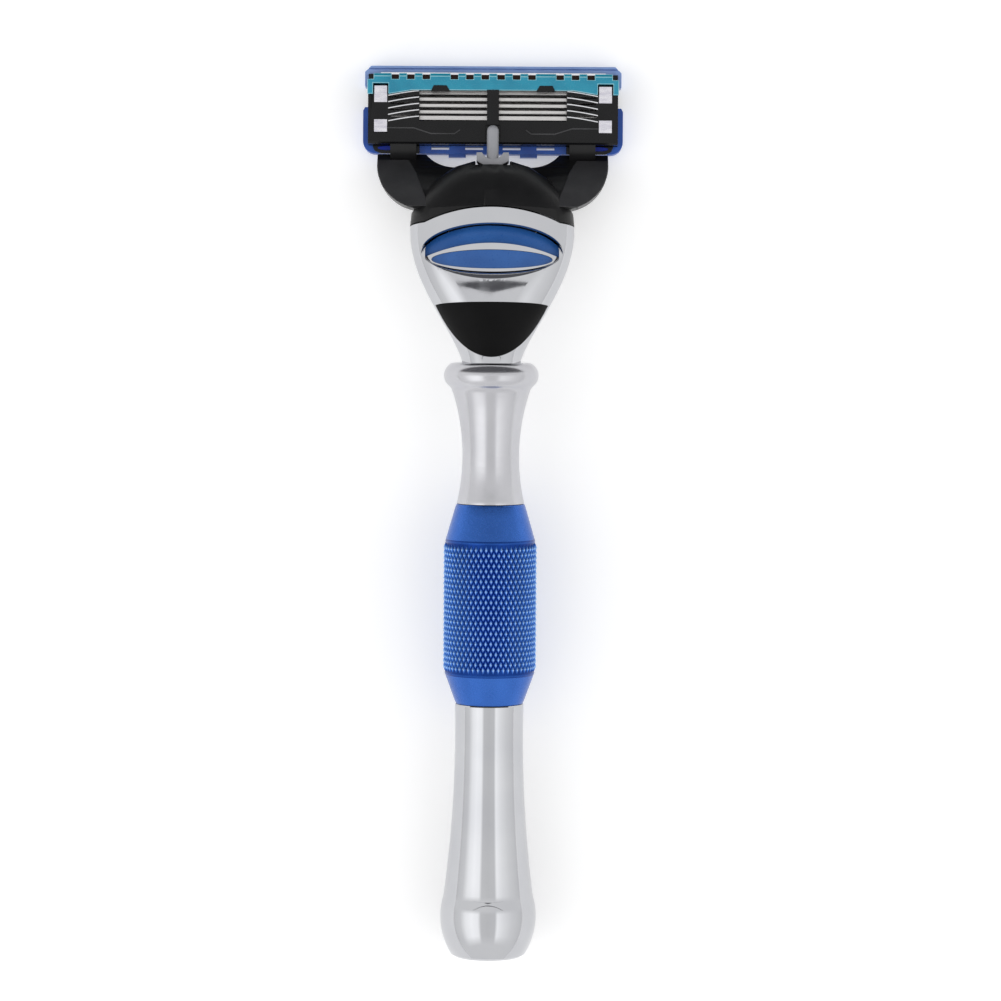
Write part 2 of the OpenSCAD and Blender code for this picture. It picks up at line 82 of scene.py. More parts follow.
ON_HANDLE = placing(butt_centre, along_handle.cross(ACROSS), along_handle)
ON_HEAD = placing(collar_point, along_head, ACROSS.cross(along_head))
cartridge_origin = Vector((0, pivot_point.y - PIVOT_DEPTH * MM, 0))
ON_CARTRIDGE = placing(cartridge_origin, Vector((0, 1, 0)), Vector((0, 0, 1)))
AS_BUILT = Matrix.Identity(4)
HANDLE_TILT = asin(along_handle.z)
HEAD_DROOP = -asin(along_head.z)


# ---- Finishes ----

def tint(red, green, blue):
    """A colour as a paint chart gives it, 0 to 255, turned into light by the usual screen curve."""
    shares = [level / 255 for level in (red, green, blue)]
    return [((s + 0.055) / 1.055) ** 2.4 if s > 0.04045 else s / 12.92 for s in shares] + [1]


class Finish:
    """One procedural material: a shader, and the grain patterns that feed it."""

    def __init__(self, name, metallic=0.0, roughness=0.4, specular=0.5):
        self.material = bpy.data.materials.new(name)
        self.material.use_nodes = True
        self.tree = self.material.node_tree
        self.shader = self.tree.nodes["Principled BSDF"]
        self.shader.inputs["Metallic"].default_value = metallic
        self.shader.inputs["Roughness"].default_value = roughness
        self.shader.inputs["Specular IOR Level"].default_value = specular
        self.coordinates = self.node("ShaderNodeTexCoord").outputs["Object"]

    def node(self, kind, **settings):
        made = self.tree.nodes.new(kind)
        for key, value in settings.items():
            setattr(made, key, value)
        return made

    def join(self, source, target):
        self.tree.links.new(source, target)

    def lined_up(self, stretch, tilt=0.0, origin=(0, 0, 0)):
        """Object coordinates moved to an origin, turned about X, then stretched."""
        moved = self.node("ShaderNodeVectorMath", operation="SUBTRACT")
        moved.inputs[1].default_value = origin
        self.join(self.coordinates, moved.inputs[0])
        turned = self.node("ShaderNodeMapping", vector_type="POINT")
        turned.inputs["Rotation"].default_value = (tilt, 0, 0)
        self.join(moved.outputs["Vector"], turned.inputs["Vector"])
        stretched = self.node("ShaderNodeVectorMath", operation="MULTIPLY")
        stretched.inputs[1].default_value = stretch
        self.join(turned.outputs["Vector"], stretched.inputs[0])
        return stretched.outputs["Vector"]

    def grain(self, size_mm, stretch=(1, 1, 1), tilt=0.0, detail=3.0):
        """A cloudy pattern whose spots are about size_mm across."""
        noise = self.node("ShaderNodeTexNoise")
        noise.inputs["Scale"].default_value = 1 / (size_mm * MM)
        noise.inputs["Detail"].default_value = detail
        self.join(self.lined_up(stretch, tilt), noise.inputs["Vector"])
        return noise.outputs["Fac"]

    def spread(self, value, low, high, low_in=0.3, high_in=0.7):
        """Maps a pattern onto the range low to high."""
        span = self.node("ShaderNodeMapRange")
        span.inputs["From Min"].default_value = low_in
        span.inputs["From Max"].default_value = high_in
        span.inputs["To Min"].default_value = low
        span.inputs["To Max"].default_value = high
        self.join(value, span.inputs["Value"])
        return span.outputs["Result"]

    def colours(self, value, *stops):
        """Colours a pattern. Each stop is (where, colour)."""
        ramp = self.node("ShaderNodeValToRGB")
        marks = ramp.color_ramp.elements
        while len(marks) < len(stops):
            marks.new(0.5)
        for mark, (where, colour) in zip(marks, stops):
            mark.position = where
            mark.color = colour
        self.join(value, ramp.inputs["Fac"])
        return ramp.outputs["Color"]

    def paint(self, colour_output):
        self.join(colour_output, self.shader.inputs["Base Color"])
        return self

    def rough(self, value, low, high):
        self.join(self.spread(value, low, high), self.shader.inputs["Roughness"])
        return self

    def bump(self, value, height_mm, strength=1.0):
        relief = self.node("ShaderNodeBump")
        relief.inputs["Strength"].default_value = strength
        relief.inputs["Distance"].default_value = height_mm * MM
        self.join(value, relief.inputs["Height"])
        self.join(relief.outputs["Normal"], self.shader.inputs["Normal"])
        return self


def mirror_chrome():
    made = Finish("polished_chrome", metallic=1.0, roughness=0.07)
    cloud = made.grain(9)
    made.paint(made.colours(cloud, (0.3, tint(190, 191, 195)), (0.7, tint(197, 198, 201))))
    made.rough(made.grain(3), 0.02, 0.06)
    return made.bump(made.grain(2.5, detail=1.0), 0.0003, 0.1).material


def satin_chrome():
    made = Finish("satin_chrome", metallic=1.0, roughness=0.25)
    lathe_lines = made.grain(0.9, (0.25, 0.25, 9), pi / 2 - HANDLE_TILT)
    made.paint(made.colours(made.grain(7), (0.3, tint(190, 190, 194)), (0.7, tint(198, 198, 202))))
    made.rough(lathe_lines, 0.17, 0.27)
    return made.bump(lathe_lines, 0.004, 0.35).material


def anodised_blue():
    """Dyed aluminium, with painted shade darkening the knurl's grooves and a painted highlight brightening its
    crests.
    """
    made = Finish("blue_anodised", metallic=0.85, roughness=0.3)
    from_axis = made.lined_up((1, 1, 0), pi / 2 - HANDLE_TILT, butt_centre)
    radius = made.node("ShaderNodeVectorMath", operation="LENGTH")
    made.join(from_axis, radius.inputs[0])
    groove, crest = 7.0 * MM, 7.5 * MM
    depth = made.spread(radius.outputs["Value"], 0, 1, groove, crest)
    smooth_blue = tint(58, 106, 190)
    # Painted shade in the grooves and a painted highlight on the crests; the middle blue is the sleeve's own
    # colour.
    knurl_painted_light = made.colours(depth, (0.2, smooth_blue), (0.26, tint(6, 50, 128)), (0.6, tint(62, 118, 210)),
                         (0.92, tint(180, 218, 255)))
    cloud = made.node("ShaderNodeMix", data_type="RGBA", blend_type="MULTIPLY")
    cloud.inputs["Factor"].default_value = 1.0
    made.join(knurl_painted_light, cloud.inputs["A"])
    faint_clouds = made.colours(made.grain(5), (0.3, [0.88, 0.89, 0.92, 1]), (0.7, [1, 1, 1, 1]))
    made.join(faint_clouds, cloud.inputs["B"])
    made.paint(cloud.outputs["Result"])
    made.rough(made.grain(0.5), 0.22, 0.36)
    return made.bump(made.grain(0.12), 0.003, 0.3).material


def steel(name, light, dark, low, high, stretch, size=0.5):
    made = Finish(name, metallic=1.0, roughness=0.3)
    lines = made.grain(size, stretch)
    made.paint(made.colours(lines, (0.3, dark), (0.7, light)))
    made.rough(lines, low, high)
    return made.bump(lines, 0.003, 0.4).material


def moulding(name, light, dark, low, high, texture_mm=0.18, height=0.004, specular=0.5):
    """Moulded plastic or rubber: faint clouds in the colour, and a fine tool texture."""
    made = Finish(name, specular=specular)
    made.paint(made.colours(made.grain(3.5), (0.3, dark), (0.7, light)))
    texture = made.grain(texture_mm)
    made.rough(texture, low, high)
    return made.bump(texture, height, 0.6).material


GROUND_EDGE_AT = 13.12


def trimmer_steel():
    """Bright along the ground edge, with a dark brown painted shade where the comb covers it."""
    made = Finish("trimmer_steel", metallic=1.0, roughness=0.25)
    place = made.node("ShaderNodeSeparateXYZ")
    made.join(made.coordinates, place.inputs["Vector"])
    edge = pivot_point.y + (GROUND_EDGE_AT - PIVOT_DEPTH) * MM
    blur = 0.04 * MM
    clear_of_comb_shade = made.spread(place.outputs["Y"], 0, 1, edge - blur, edge + blur)
    # Dark brown painted shade under the comb; past the ground edge, the steel's own bright colour.
    made.paint(made.colours(clear_of_comb_shade, (0.4, tint(44, 34, 31)), (0.6, tint(236, 236, 240))))
    lines = made.grain(0.3, (0.1, 3, 3))
    made.rough(lines, 0.15, 0.3)
    return made.bump(lines, 0.003, 0.4).material


CHROME = mirror_chrome()
SATIN = satin_chrome()
BLUE_SLEEVE = anodised_blue()
ROD_STEEL = steel("steel_rod", tint(190, 190, 194), tint(160, 160, 165), 0.25, 0.4, (1, 4, 1))
SPRING_STEEL = steel("spring_wire", tint(205, 205, 210), tint(170, 170, 176), 0.2, 0.35, (3, 3, 3), 0.2)
SUPPORT_STEEL = steel("support_steel", tint(222, 220, 218), tint(196, 194, 194), 0.2, 0.34, (0.1, 3, 3), 0.3)
# The blades' steel, also used for bright strips that are painted highlights.
BLADE_STEEL_AND_HIGHLIGHT = steel("blade_steel", tint(238, 238, 240), tint(215, 216, 220), 0.12, 0.25, (0.1, 3, 3), 0.3)
CLIP_METAL = steel("clip_metal", tint(236, 235, 240), tint(200, 198, 210), 0.2, 0.3, (0.5, 2, 1), 1.1)
SOFT_BLACK = moulding("black_rubber", tint(13, 13, 14), tint(9, 9, 10), 0.5, 0.66, 0.12, 0.006,
                      specular=0.12)
BLACK_MOULDING = moulding("black_plastic", tint(26, 26, 27), tint(19, 19, 20), 0.3, 0.44, specular=0.3)
FRAME_BLACK = moulding("frame_plastic", tint(17, 17, 19), tint(11, 11, 13), 0.2, 0.34, specular=0.25)
GREY_MOULDING = moulding("grey_plastic", tint(172, 173, 178), tint(158, 159, 164), 0.25, 0.36)
BUTTON_BLUE = moulding("blue_plastic", tint(46, 100, 172), tint(38, 90, 160), 0.26, 0.36, 0.25, 0.002)
GUARD_BLUE = moulding("guard_plastic", tint(26, 84, 178), tint(18, 70, 160), 0.34, 0.46)
FIN_BLUE = moulding("fin_rubber", tint(74, 124, 196), tint(60, 108, 180), 0.45, 0.6)
PALE_BLUE = moulding("pale_plastic", tint(140, 168, 222), tint(124, 154, 212), 0.3, 0.42)
SOAP = moulding("soap_polymer", tint(214, 232, 236), tint(196, 220, 228), 0.4, 0.6, 0.3, 0.01)
TEAL = moulding("teal_plastic", tint(28, 148, 176), tint(16, 130, 160), 0.2, 0.3, 0.2, 0.002)
# Paler teal for the comb's rounded edges: a painted highlight.
TEAL_EDGE_HIGHLIGHT = moulding("teal_painted_edge_highlight", tint(150, 205, 216), tint(120, 190, 204), 0.2, 0.3, 0.2, 0.002)
# A lighter copy of the yoke's black for the arms' outer plates: painted light on the faces that catch it.
ARM_BLACK_PAINTED_LIGHT = moulding("arm_black_painted_light", tint(58, 58, 60), tint(48, 48, 50), 0.4, 0.55, specular=0.3)
# A darker copy of the guard's blue, for the guard where it shows through gaps beside the arms: painted shade.
GUARD_SHADE_BLUE = moulding("guard_blue_painted_shade", tint(14, 44, 150), tint(8, 30, 124), 0.1, 0.16, 0.3, 0.001,
                          specular=0.15)
TRIMMER_STEEL = trimmer_steel()
# Lighter grey for the frame's raised ridges: a painted highlight on the black plastic.
BLACK_RIDGE_HIGHLIGHT = moulding("black_painted_ridge_highlight", tint(64, 64, 66), tint(46, 46, 48), 0.26, 0.4, specular=0.4)
# Paler blue for the guard's rounded edges: a painted highlight.
GUARD_EDGE_HIGHLIGHT = moulding("guard_painted_edge_highlight", tint(82, 138, 218), tint(60, 118, 204), 0.3, 0.4)


# ---- Making pieces ----

# Corners this close are welded: in a drawing (millimetres), at the end (metres), in a built node (metres)
WELD_DRAWN = 0.0005
WELD_PLACED = 1e-7
WELD_BUILT = 1e-6
NEARLY_FLAT = 0.4
NEAR = 0.01


def finished(shape, name, body, material, place, replaces=(), crease=30, edge_mm=0.0, steps=2,
             edge_highlight=None):
    """Puts a drawn shape in place as a named piece of the razor."""
    weld = WELD_PLACED if place is AS_BUILT else WELD_DRAWN
    bmesh.ops.remove_doubles(shape, verts=shape.verts, dist=weld)
    bmesh.ops.transform(shape, matrix=place, verts=shape.verts)
    bmesh.ops.recalc_face_normals(shape, faces=shape.faces)
    mesh = bpy.data.meshes.new(name)
    shape.to_mesh(mesh)
    shape.free()
    for face in mesh.polygons:
        face.use_smooth = True
    mesh.set_sharp_from_angle(angle=radians(crease))
    piece = bpy.data.objects.new(name, mesh)
    bpy.context.scene.collection.objects.link(piece)
    mesh.materials.append(material)
    if edge_mm:
        rounding = piece.modifiers.new("edge_rounding", "BEVEL")
        rounding.width = edge_mm * MM
        rounding.segments = steps
        rounding.limit_method = "ANGLE"
        rounding.angle_limit = radians(crease)
        rounding.harden_normals = True
        # A second, paler material on the bevel faces paints a highlight along the rounded edges.
        if edge_highlight:
            mesh.materials.append(edge_highlight)
            rounding.material = 1
    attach(piece, body)
    if replaces:
        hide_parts(*replaces)
    return piece


def body_of(node):
    return next(b for b, nodes in frame["record"]["behaviour"]["bodies"].items() if node in nodes)


def built(node, place=AS_BUILT):
    """The built shape of a node, welded into whole faces, on the drawing that belongs to a place."""
    shape = bmesh.new()
    shape.from_mesh(frame["nodes"][node].data)
    bmesh.ops.remove_doubles(shape, verts=shape.verts, dist=WELD_BUILT)
    bmesh.ops.dissolve_limit(shape, angle_limit=radians(NEARLY_FLAT), verts=shape.verts, edges=shape.edges)
    bmesh.ops.transform(shape, matrix=place.inverted(), verts=shape.verts)
    return shape


def refined(node, name, material, edge_mm, edge_highlight=None):
    """A piece that keeps its built shape and is given rounded edges."""
    return finished(built(node), name, body_of(node), material, AS_BUILT, (node,),
                    edge_mm=edge_mm, edge_highlight=edge_highlight)


def keep_node(node, material):
    """A hidden piece that stays as it was built, in a better finish."""
    mesh = frame["nodes"][node].data
    mesh.materials.clear()
    mesh.materials.append(material)


def make_spring(node, name):
    """A coil spring in its built shape, with a mesh of its own."""
    coil = refined(node, name, SPRING_STEEL, 0)
    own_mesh(coil)


def turned(outline, sides):
    """A lathe shape from (radius, distance along the axis) pairs."""
    shape = bmesh.new()
    corners = [shape.verts.new((radius, 0, along)) for radius, along in outline]
    edges = [shape.edges.new(pair) for pair in zip(corners, corners[1:])]
    bmesh.ops.spin(shape, geom=corners + edges, cent=(0, 0, 0), axis=(0, 0, 1), dvec=(0, 0, 0),
                   angle=2 * pi, steps=sides, use_merge=True, use_duplicate=False)
    bmesh.ops.remove_doubles(shape, verts=shape.verts, dist=WELD_DRAWN)
    return shape


def tube(sides, rings):
    """A closed straight tube of unit radius, with a ring of corners at each whole height."""
    shape = bmesh.new()
    bmesh.ops.create_circle(shape, cap_ends=True, segments=sides, radius=1)
    rim = shape.edges[:]
    for _ in range(rings):
        grown = bmesh.ops.extrude_edge_only(shape, edges=rim)["geom"]
        corners = {g for g in grown if isinstance(g, bmesh.types.BMVert)}
        rim = [g for g in grown if isinstance(g, bmesh.types.BMEdge) and corners.issuperset(g.verts)]
        bmesh.ops.translate(shape, vec=(0, 0, 1), verts=list(corners))
    bmesh.ops.edgeloop_fill(shape, edges=rim)
    return shape


def box_between(low, high):
    shape = bmesh.new()
    bmesh.ops.create_cube(shape, size=1)
    middle = [(a + b) / 2 for a, b in zip(low, high)]
    bmesh.ops.scale(shape, vec=[b - a for a, b in zip(low, high)], verts=shape.verts)
    bmesh.ops.translate(shape, vec=middle, verts=shape.verts)
    return shape


def prism(outline, bottom, top):
    """A flat outline of (x, y) corners, raised from bottom to top."""
    shape = bmesh.new()
    corners = [shape.verts.new((x, y, bottom)) for x, y in outline]
    face = shape.faces.new(corners)
    grown = bmesh.ops.extrude_face_region(shape, geom=[face])["geom"]
    raised = [g for g in grown if isinstance(g, bmesh.types.BMVert)]
    bmesh.ops.translate(shape, vec=(0, 0, top - bottom), verts=raised)
    bmesh.ops.recalc_face_normals(shape, faces=shape.faces)
    return shape


def on_bench(shape):
    """A loose object, for one carving only."""
    bmesh.ops.recalc_face_normals(shape, faces=shape.faces)
    mesh = bpy.data.meshes.new("bench")
    shape.to_mesh(mesh)
    shape.free()
    made = bpy.data.objects.new("bench", mesh)
    bpy.context.scene.collection.objects.link(made)
    return made


def carved(shape, way, *tools):
    """Cuts, joins or overlaps a shape with each tool in turn."""
    work = on_bench(shape)
    used = [on_bench(tool) for tool in tools]
    for tool in used:
        step = work.modifiers.new("carve", "BOOLEAN")
        step.operation = way
        step.solver = "EXACT"
        step.object = tool
    graph = bpy.context.evaluated_depsgraph_get()
    mesh = bpy.data.meshes.new_from_object(work.evaluated_get(graph))
    result = bmesh.new()
    result.from_mesh(mesh)
    for item in [work] + used:
        old = item.data
        bpy.data.objects.remove(item)
        bpy.data.meshes.remove(old)
    bpy.data.meshes.remove(mesh)
    return result


def steps_between(low, high, count):
    return [low + (high - low) * i / count for i in range(count + 1)]


# ---- Turned handle ----

BUTT_RADIUS = 5.8
BULGE_RADIUS = 7.75
BULGE_AT = 6.4
BULGE_END = 9.7
bulge_rise = BULGE_RADIUS - BUTT_RADIUS
butt_arc = (BULGE_AT ** 2 + bulge_rise ** 2) / (2 * bulge_rise)
WAIST_RADIUS = 5.48
WAIST_AT = 36
WAIST_ARC = 196
BUTT_EDGE = [(0.55, 0), (0.25, 0.05), (0, 0.22)]
BULGE_FROM = 0.4
BULGE_BLEND = 0.12
BULGE_PLAY = 0.002
TAIL_CHAMFER = 0.12
TAIL_CHAMFER_LENGTH = 0.15
ROD_HOLE = 2.55
TAIL_HOLE_DEPTH = 15


def bulge(along):
    return BULGE_RADIUS - butt_arc + sqrt(butt_arc ** 2 - (along - BULGE_AT) ** 2)


def waist(along):
    return WAIST_RADIUS + WAIST_ARC - sqrt(WAIST_ARC ** 2 - (along - WAIST_AT) ** 2)


def make_tail():
    hole_end = TAIL_LENGTH - TAIL_HOLE_DEPTH
    waist_end = TAIL_LENGTH - TAIL_CHAMFER_LENGTH
    outline = [(0, 0)] + [(BUTT_RADIUS - inwards, s) for inwards, s in BUTT_EDGE]
    outline += [(bulge(s) - BULGE_PLAY, s) for s in steps_between(BULGE_FROM, BULGE_END, 26)]
    outline += [(waist(s), s) for s in steps_between(BULGE_END + BULGE_BLEND, waist_end, 40)]
    outline += [(waist(TAIL_LENGTH) - TAIL_CHAMFER, TAIL_LENGTH), (ROD_HOLE, TAIL_LENGTH),
                (ROD_HOLE, hole_end), (0, hole_end)]
    finished(turned(outline, 128), "tail_turning", "handle", CHROME, ON_HANDLE,
             ("tail_piece",), crease=24)


KNURL_CREST = 7.5
KNURL_GROOVE = 7.14
KNURL_ROWS = 25
KNURLS_ROUND = 55
KNURL_FROM = 5.2
KNURL_TO = SLEEVE_LENGTH - 6.2
KNURL_GAP = 0.25
SLEEVE_HOLE = 2.6
CONE_TOP = 7.2
FOOT_EDGE = [(5.2, 0), (5.36, 0.06), (5.45, 0.2), (5.6, 0.55)]
HEAD_EDGE = [(5.62, 0.5), (5.5, 0.18), (5.38, 0.05), (5.2, 0)]


def make_sleeve():
    """The blue sleeve: two smooth cones and a band of pressed diamonds between them."""
    def cone(low, high, shares):
        """Points on the straight side between two (radius, distance) points."""
        return [(low[0] + (high[0] - low[0]) * k, low[1] + (high[1] - low[1]) * k) for k in shares]

    foot_top = (CONE_TOP, KNURL_FROM - KNURL_GAP)
    cone_foot = [(SLEEVE_HOLE, 0)] + FOOT_EDGE + cone(FOOT_EDGE[-1], foot_top, steps_between(0.25, 1, 3))
    band = [(KNURL_GROOVE, s) for s in steps_between(KNURL_FROM, KNURL_TO, KNURL_ROWS)]
    head_edge = [(radius, SLEEVE_LENGTH - inwards) for radius, inwards in HEAD_EDGE]
    cone_head = cone((CONE_TOP, KNURL_TO + KNURL_GAP), head_edge[0], steps_between(0, 1, 4))
    cone_head += head_edge[1:] + [(SLEEVE_HOLE, SLEEVE_LENGTH), (SLEEVE_HOLE, 0)]
    shape = turned(cone_foot + band + cone_head, 2 * KNURLS_ROUND)
    row_height = (KNURL_TO - KNURL_FROM) / KNURL_ROWS
    column = pi / KNURLS_ROUND
    for corner in shape.verts:
        row = (corner.co.z - KNURL_FROM) / row_height
        on_band = abs(row - round(row)) < NEAR and 0 < round(row) < KNURL_ROWS
        if on_band and (round(row) + round(atan2(corner.co.y, corner.co.x) / column)) % 2:
            corner.co.xy *= KNURL_CREST / KNURL_GROOVE
    diamonds = [f for f in shape.faces if min(v.co.xy.length for v in f.verts) > KNURL_GROOVE - NEAR
                and KNURL_FROM - NEAR < f.calc_center_median().z < KNURL_TO + NEAR]
    bmesh.ops.triangulate(shape, faces=diamonds, quad_method="SHORT_EDGE", ngon_method="BEAUTY")
    bmesh.ops.translate(shape, vec=(0, 0, TAIL_LENGTH), verts=shape.verts)
    finished(shape, "knurled_sleeve", "handle", BLUE_SLEEVE, ON_HANDLE,
             ("grip_sleeve",), crease=20)


NECK_WAIST = 4.55
NECK_ARC = 33
NECK_WAIST_AT = 7.6
BEAD_ROUND = 2.2
BEAD_CENTRE = 5.38
BEAD_AT = NECK_LENGTH - 2
COVE_END = 18.3
BEAD_START = 18.72
NECK_HOLE_DEPTH = 11.5
STUD_HOLE = 2.05
STUD_HOLE_DEPTH = 8


def make_neck():
    """The neck: a hollow curve that runs up into the collar's round bead."""
    def cove(s):
        return NECK_WAIST + NECK_ARC - sqrt(NECK_ARC ** 2 - (s - NECK_WAIST_AT) ** 2)

    def bead(s):
        return BEAD_CENTRE + sqrt(BEAD_ROUND ** 2 - (s - BEAD_AT) ** 2)

    edge = 0.2
    softening = 0.06
    top_edge = 0.1
    stud_end = NECK_LENGTH - STUD_HOLE_DEPTH
    outline = [(0, NECK_HOLE_DEPTH), (ROD_HOLE, NECK_HOLE_DEPTH), (ROD_HOLE, 0), (cove(0) - edge, 0),
               (cove(0) - softening, softening)]
    outline += [(cove(s), s) for s in steps_between(edge, COVE_END, 40)]
    outline += [(bead(s), s) for s in steps_between(BEAD_START, NECK_LENGTH - top_edge, 26)]
    outline += [(bead(NECK_LENGTH) - top_edge, NECK_LENGTH), (STUD_HOLE, NECK_LENGTH),
                (STUD_HOLE, stud_end), (0, stud_end)]
    shape = turned(outline, 128)
    bmesh.ops.translate(shape, vec=(0, 0, TAIL_LENGTH + SLEEVE_LENGTH), verts=shape.verts)
    finished(shape, "neck_turning", "handle", SATIN, ON_HANDLE, ("neck_piece",), crease=24)


# ---- Head ----

HEAD_WIDTH = 13.2
HEAD_DEPTH = 6.0
HEAD_FULL_AT = 21.5
WIDTH_POWER = 1.3
DEPTH_POWER = 0.8
COLLAR_DISC = 4.7
PARTING_EDGE = 22.1
PARTING_ARC = 30
PARTING_APEX = 24.1
collar_lean = HEAD_DROOP + HANDLE_TILT
LEAN_FADE = 1.6
LEAN_SHARE = 0.98


def head_flare(t):
    """Half width and half depth of the head at a distance t from the collar."""
    grown = sin(pi / 2 * min(max(t, 0) / HEAD_FULL_AT, 1))
    root_width = COLLAR_DISC / HEAD_WIDTH
    root_depth = COLLAR_DISC / HEAD_DEPTH
    return (HEAD_WIDTH * (root_width + (1 - root_width) * grown ** WIDTH_POWER),
            HEAD_DEPTH * (root_depth + (1 - root_depth) * grown ** DEPTH_POWER))


def parting(x):
    """Where the head's front edge lies at a distance x from the middle."""
    if abs(x) >= PARTING_ARC:
        return PARTING_EDGE
    return max(PARTING_EDGE, PARTING_APEX - PARTING_ARC + sqrt(PARTING_ARC ** 2 - x * x))


def head_solid(inset=0.0, front=parting, rings=44, sides=144):
    """The head without its hollows: it leans to lie on the collar, and ends in front as asked."""
    shape = tube(sides, rings)
    for corner in shape.verts:
        side, up, share = corner.co.x, corner.co.y, corner.co.z / rings
        guess = head_flare(share * PARTING_EDGE)[0]
        t = share * front((guess - inset) * side)
        width, depth = head_flare(t)
        width -= inset
        depth -= inset
        root = max(0.0, 1 - t / LEAN_FADE)
        t += root * (-COLLAR_DISC * up * sin(collar_lean)) * LEAN_SHARE
        corner.co = (width * side, t, depth * up)
    bmesh.ops.recalc_face_normals(shape, faces=shape.faces)
    return shape


POCKET_AT = 17.6
POCKET_WIDTH = 11.3
POCKET_LENGTH = 3.95
POCKET_FLOOR = 1.3
POCKET_LIP = 1.25
TUNNEL_FLOOR = 1
TUNNEL_PLAY = 0.2
BUTTON_CROWN = 4.7
CROWN_ARC = 22
SLED_WIDTH = 6.2
SHIELD_WIDTH = 8.95
SHIELD_FROM = 0.05
SHIELD_LENGTH = 9.0
SHIELD_ARCH = 0.3
SHIELD_MIDDLE = 5.6
INLAY_FRONT = 22.0
RECESS_DEPTH = 0.75
INLAY_THICKNESS = 0.7
INLAY_PLAY = 0.02
SLOT_FROM = 11
NOSE_SLOT = (7.05, 1.95)
SLED_SLOT = (1.5, 2.7)
# Cutters run to here, well clear of the head above, below, in front and at the sides
CLEAR_ABOVE = 9
CLEAR_AHEAD = 30
CLEAR_ASIDE = 20
CLEAR_BELOW = -12


def oval(centre, half_width, half_length, count=96):
    return [(half_width * cos(2 * pi * i / count), centre + half_length * sin(2 * pi * i / count))
            for i in range(count)]


def shield(grow=0.0):
    """Outline of the soft inlay: a parabola that opens towards the cartridge, closed by a slight arch."""
    end = SHIELD_FROM + SHIELD_LENGTH
    sides = [(SHIELD_WIDTH * k, SHIELD_FROM + SHIELD_LENGTH * k ** 2) for k in steps_between(-1, 1, 48)]
    arch = [(SHIELD_WIDTH * k, end - SHIELD_ARCH * (1 - k ** 2)) for k in steps_between(1, -1, 24)]
    wider = 1 + grow / 9
    longer = 1 + grow / 5
    return [(x * wider, SHIELD_MIDDLE + (t - SHIELD_MIDDLE) * longer) for x, t in sides + arch[1:-1]]


def roof(crown, slope=0.0, hinge=0.0, arc=CROWN_ARC):
    """A long log that lies along the head, its top at the crown; it may fall towards the cartridge."""
    shape = bmesh.new()
    bmesh.ops.create_cone(shape, cap_ends=True, segments=360, radius1=arc, radius2=arc, depth=70)
    bmesh.ops.rotate(shape, cent=(0, 0, 0), matrix=Matrix.Rotation(pi / 2, 3, "X"), verts=shape.verts)
    bmesh.ops.translate(shape, vec=(0, hinge, crown - arc), verts=shape.verts)
    fall = Matrix.Rotation(-slope, 3, "X")
    bmesh.ops.rotate(shape, cent=(0, hinge, crown), matrix=fall, verts=shape.verts)
    return shape


def button_tunnel():
    """The room under the head's front band into which the button slides."""
    back = [(x, t) for x, t in oval(POCKET_AT, POCKET_WIDTH, POCKET_LENGTH) if t <= POCKET_AT]
    plan = [(POCKET_WIDTH, CLEAR_AHEAD), (-POCKET_WIDTH, CLEAR_AHEAD)] + sorted(back)
    ceiling = roof(BUTTON_CROWN + TUNNEL_PLAY, arc=CROWN_ARC + TUNNEL_PLAY)
    return carved(prism(plan, TUNNEL_FLOOR, CLEAR_ABOVE), "INTERSECT", ceiling)


def head_top(x, t):
    """Height of the head's upper face."""
    width, depth = head_flare(t)
    return depth * sqrt(max(0.0, 1 - (x / width) ** 2))


def pocket_lip(rings=8):
    """Cutter that rolls the pocket's rear edge over, most in the middle."""
    above_head = 1.5
    gather = 1.5
    shape = tube(96, rings)
    for corner in shape.verts:
        side, back, share = corner.co.x, corner.co.y, corner.co.z / (rings - 1)
        turn = pi / 2 * min(share, 1)
        rolled = POCKET_LIP * (1 - cos(turn)) * max(0.0, -back) ** gather
        x = (POCKET_WIDTH - NEAR) * side
        t = POCKET_AT + (POCKET_LENGTH - NEAR + rolled) * back
        drop = POCKET_LIP * (1 - sin(turn)) if share <= 1 else -above_head
        corner.co = (x, t, head_top(x, t) - drop)
    bmesh.ops.recalc_face_normals(shape, faces=shape.faces)
    return shape


def slot_through_front(half_width, bottom, top):
    return box_between((-half_width, SLOT_FROM, bottom), (half_width, CLEAR_AHEAD, top))


def make_head():
    """The chrome head with its hollows, and the soft inlay in its recess."""
    def plain_head(inset):
        return head_solid(inset, lambda x: INLAY_FRONT)

    recess = carved(prism(shield(0.05), -10, 10), "DIFFERENCE", plain_head(RECESS_DEPTH))
    lower_half = box_between((-CLEAR_ASIDE, -5, CLEAR_BELOW), (CLEAR_ASIDE, CLEAR_AHEAD, 0))
    nose_width, nose_height = NOSE_SLOT
    shell = carved(head_solid(), "DIFFERENCE",
                   slot_through_front(nose_width, -nose_height, nose_height),
                   slot_through_front(SLED_WIDTH, *SLED_SLOT),
                   button_tunnel(),
                   prism(oval(POCKET_AT, POCKET_WIDTH, POCKET_LENGTH), POCKET_FLOOR, CLEAR_ABOVE),
                   pocket_lip(),
                   carved(recess, "DIFFERENCE", lower_half))
    finished(shell, "head_casing", "handle", CHROME, ON_HEAD, ("head_shell",),
             edge_mm=0.14, steps=3)
    inlay = carved(prism(shield(-INLAY_PLAY), 0.5, 10), "INTERSECT", plain_head(INLAY_PLAY))
    inlay = carved(inlay, "DIFFERENCE", plain_head(INLAY_THICKNESS))
    finished(inlay, "thumb_inlay", "handle", SOFT_BLACK, ON_HEAD, ("rear_inlay",),
             edge_mm=0.12)


# ---- Eject button ----

